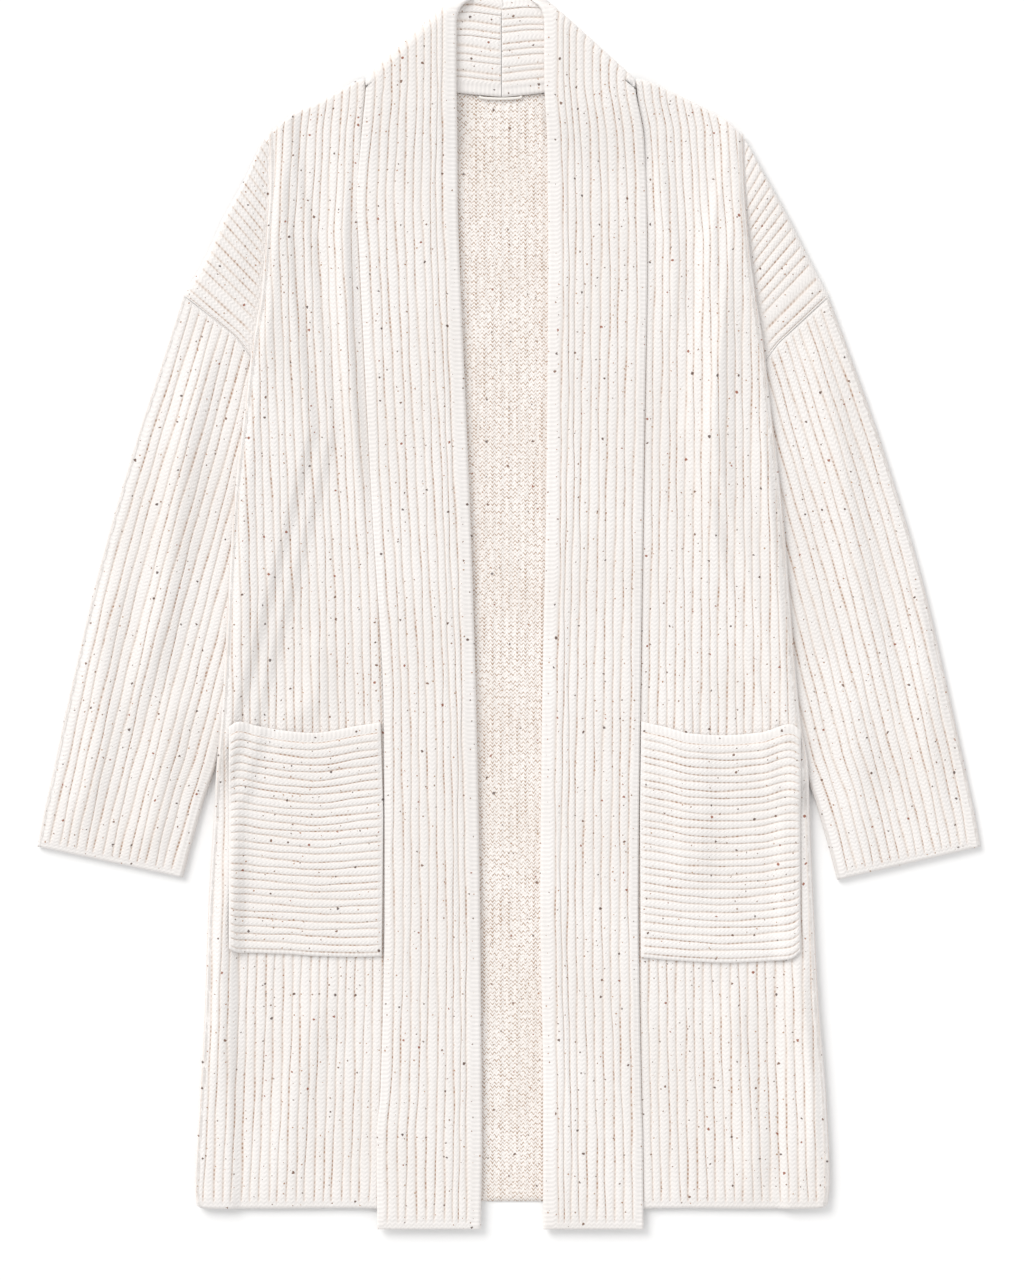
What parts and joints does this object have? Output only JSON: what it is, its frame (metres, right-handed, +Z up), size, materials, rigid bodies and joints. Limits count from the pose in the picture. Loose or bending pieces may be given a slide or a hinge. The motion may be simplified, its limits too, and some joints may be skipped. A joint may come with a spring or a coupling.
{
  "type": "oversized cardigan",
  "caption": "Long oversized rib-knit cardigan, open at the front, with drop shoulders, patch pockets and a wide doubled band, laid flat face up.",
  "frame": {"origin": "centre of the bounding box on the floor that the garment lies on", "axes": "+Y from hem to collar, +X towards the wearer's left, +Z up, out of the front"},
  "size_m": [0.8481, 1.1102, 0.0191],
  "materials": {
    "back": "purl side of a cream rib knit",
    "right_front": "cream rib knit with tweed nepps",
    "left_front": "cream rib knit with tweed nepps",
    "right_sleeve": "cream rib knit with tweed nepps",
    "left_sleeve": "cream rib knit with tweed nepps",
    "right_band": "cream rib knit with tweed nepps",
    "left_band": "cream rib knit with tweed nepps",
    "right_pocket": "cream rib knit with tweed nepps",
    "left_pocket": "cream rib knit with tweed nepps",
    "hanger_loop": "thin cream cord"
  },
  "bodies": {
    "root": {"back": "back", "right_front": "right_front", "left_front": "left_front", "right_sleeve": "right_sleeve", "left_sleeve": "left_sleeve", "right_band": "right_band", "left_band": "left_band", "right_pocket": "right_pocket", "left_pocket": "left_pocket", "hanger_loop": "hanger_loop"}
  },
  "joints": []
}
